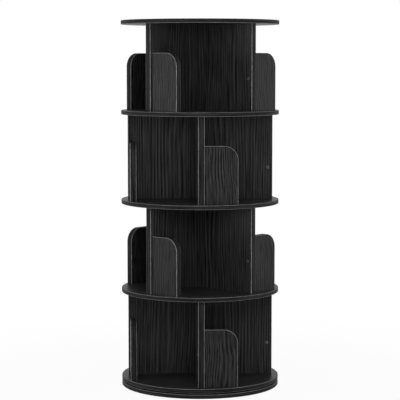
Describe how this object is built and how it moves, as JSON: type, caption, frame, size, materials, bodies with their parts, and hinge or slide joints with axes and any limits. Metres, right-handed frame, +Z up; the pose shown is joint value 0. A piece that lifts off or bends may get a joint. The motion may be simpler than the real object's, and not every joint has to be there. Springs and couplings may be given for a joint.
{
  "type": "revolving bookcase",
  "caption": "Round tower of open shelves that turns on a flat base, each tier divided like a pinwheel with low rounded panels that keep books in.",
  "frame": {"origin": "on the floor under the middle of the base, on the axis that the tower turns about", "axes": "+Z up along that axis, -Y towards the viewer of the picture, +X to that viewer's right"},
  "size_m": [0.4599, 0.46, 1.068],
  "materials": {
    "black_laminate": "black wood-grain laminate, satin",
    "black_steel": "black oxide",
    "zinc_steel": "zinc plated",
    "nylon": "natural nylon",
    "bare_beech": "bare wood",
    "rubber": "matt black rubber"
  },
  "bodies": {
    "base": {"base_board": "black_laminate", "foot_pads": "rubber", "lower_bearing_plate": "zinc_steel"},
    "roller_ring": {"roller_cage": "nylon", "bearing_rollers": "nylon"},
    "tower": {"bottom_shelf": "black_laminate", "lower_shelf": "black_laminate", "middle_shelf": "black_laminate", "upper_shelf": "black_laminate", "top_board": "black_laminate", "bottom_divider_front": "black_laminate", "bottom_divider_right": "black_laminate", "bottom_divider_back": "black_laminate", "bottom_divider_left": "black_laminate", "lower_divider_front_left": "black_laminate", "lower_divider_front_right": "black_laminate", "lower_divider_back_right": "black_laminate", "lower_divider_back_left": "black_laminate", "upper_divider_front": "black_laminate", "upper_divider_right": "black_laminate", "upper_divider_back": "black_laminate", "upper_divider_left": "black_laminate", "top_divider_front_left": "black_laminate", "top_divider_front_right": "black_laminate", "top_divider_back_right": "black_laminate", "top_divider_back_left": "black_laminate", "bottom_stop_front": "black_laminate", "bottom_stop_right": "black_laminate", "bottom_stop_back": "black_laminate", "bottom_stop_left": "black_laminate", "lower_stop_front_left": "black_laminate", "lower_stop_front_right": "black_laminate", "lower_stop_back_right": "black_laminate", "lower_stop_back_left": "black_laminate", "upper_stop_front": "black_laminate", "upper_stop_right": "black_laminate", "upper_stop_back": "black_laminate", "upper_stop_left": "black_laminate", "top_stop_front_left": "black_laminate", "top_stop_front_right": "black_laminate", "top_stop_back_right": "black_laminate", "top_stop_back_left": "black_laminate", "upper_bearing_plate": "zinc_steel", "centre_bolt": "zinc_steel", "lock_nut": "zinc_steel", "stop_screws": "black_steel", "shelf_tenons": "bare_beech", "divider_tenons": "bare_beech"}
  },
  "joints": [
    {"name": "tower_spin", "type": "hinge", "parent": "base", "child": "tower", "pos_m": [0, 0, 0], "axis": [0, 0, 1], "continuous": true},
    {"name": "roller_ring_spin", "type": "hinge", "parent": "base", "child": "roller_ring", "pos_m": [0, 0, 0], "axis": [0, 0, 1], "continuous": true}
  ],
  "couplings": [
    {"joint": "roller_ring_spin", "follows": "tower_spin", "ratio": 0.5}
  ]
}
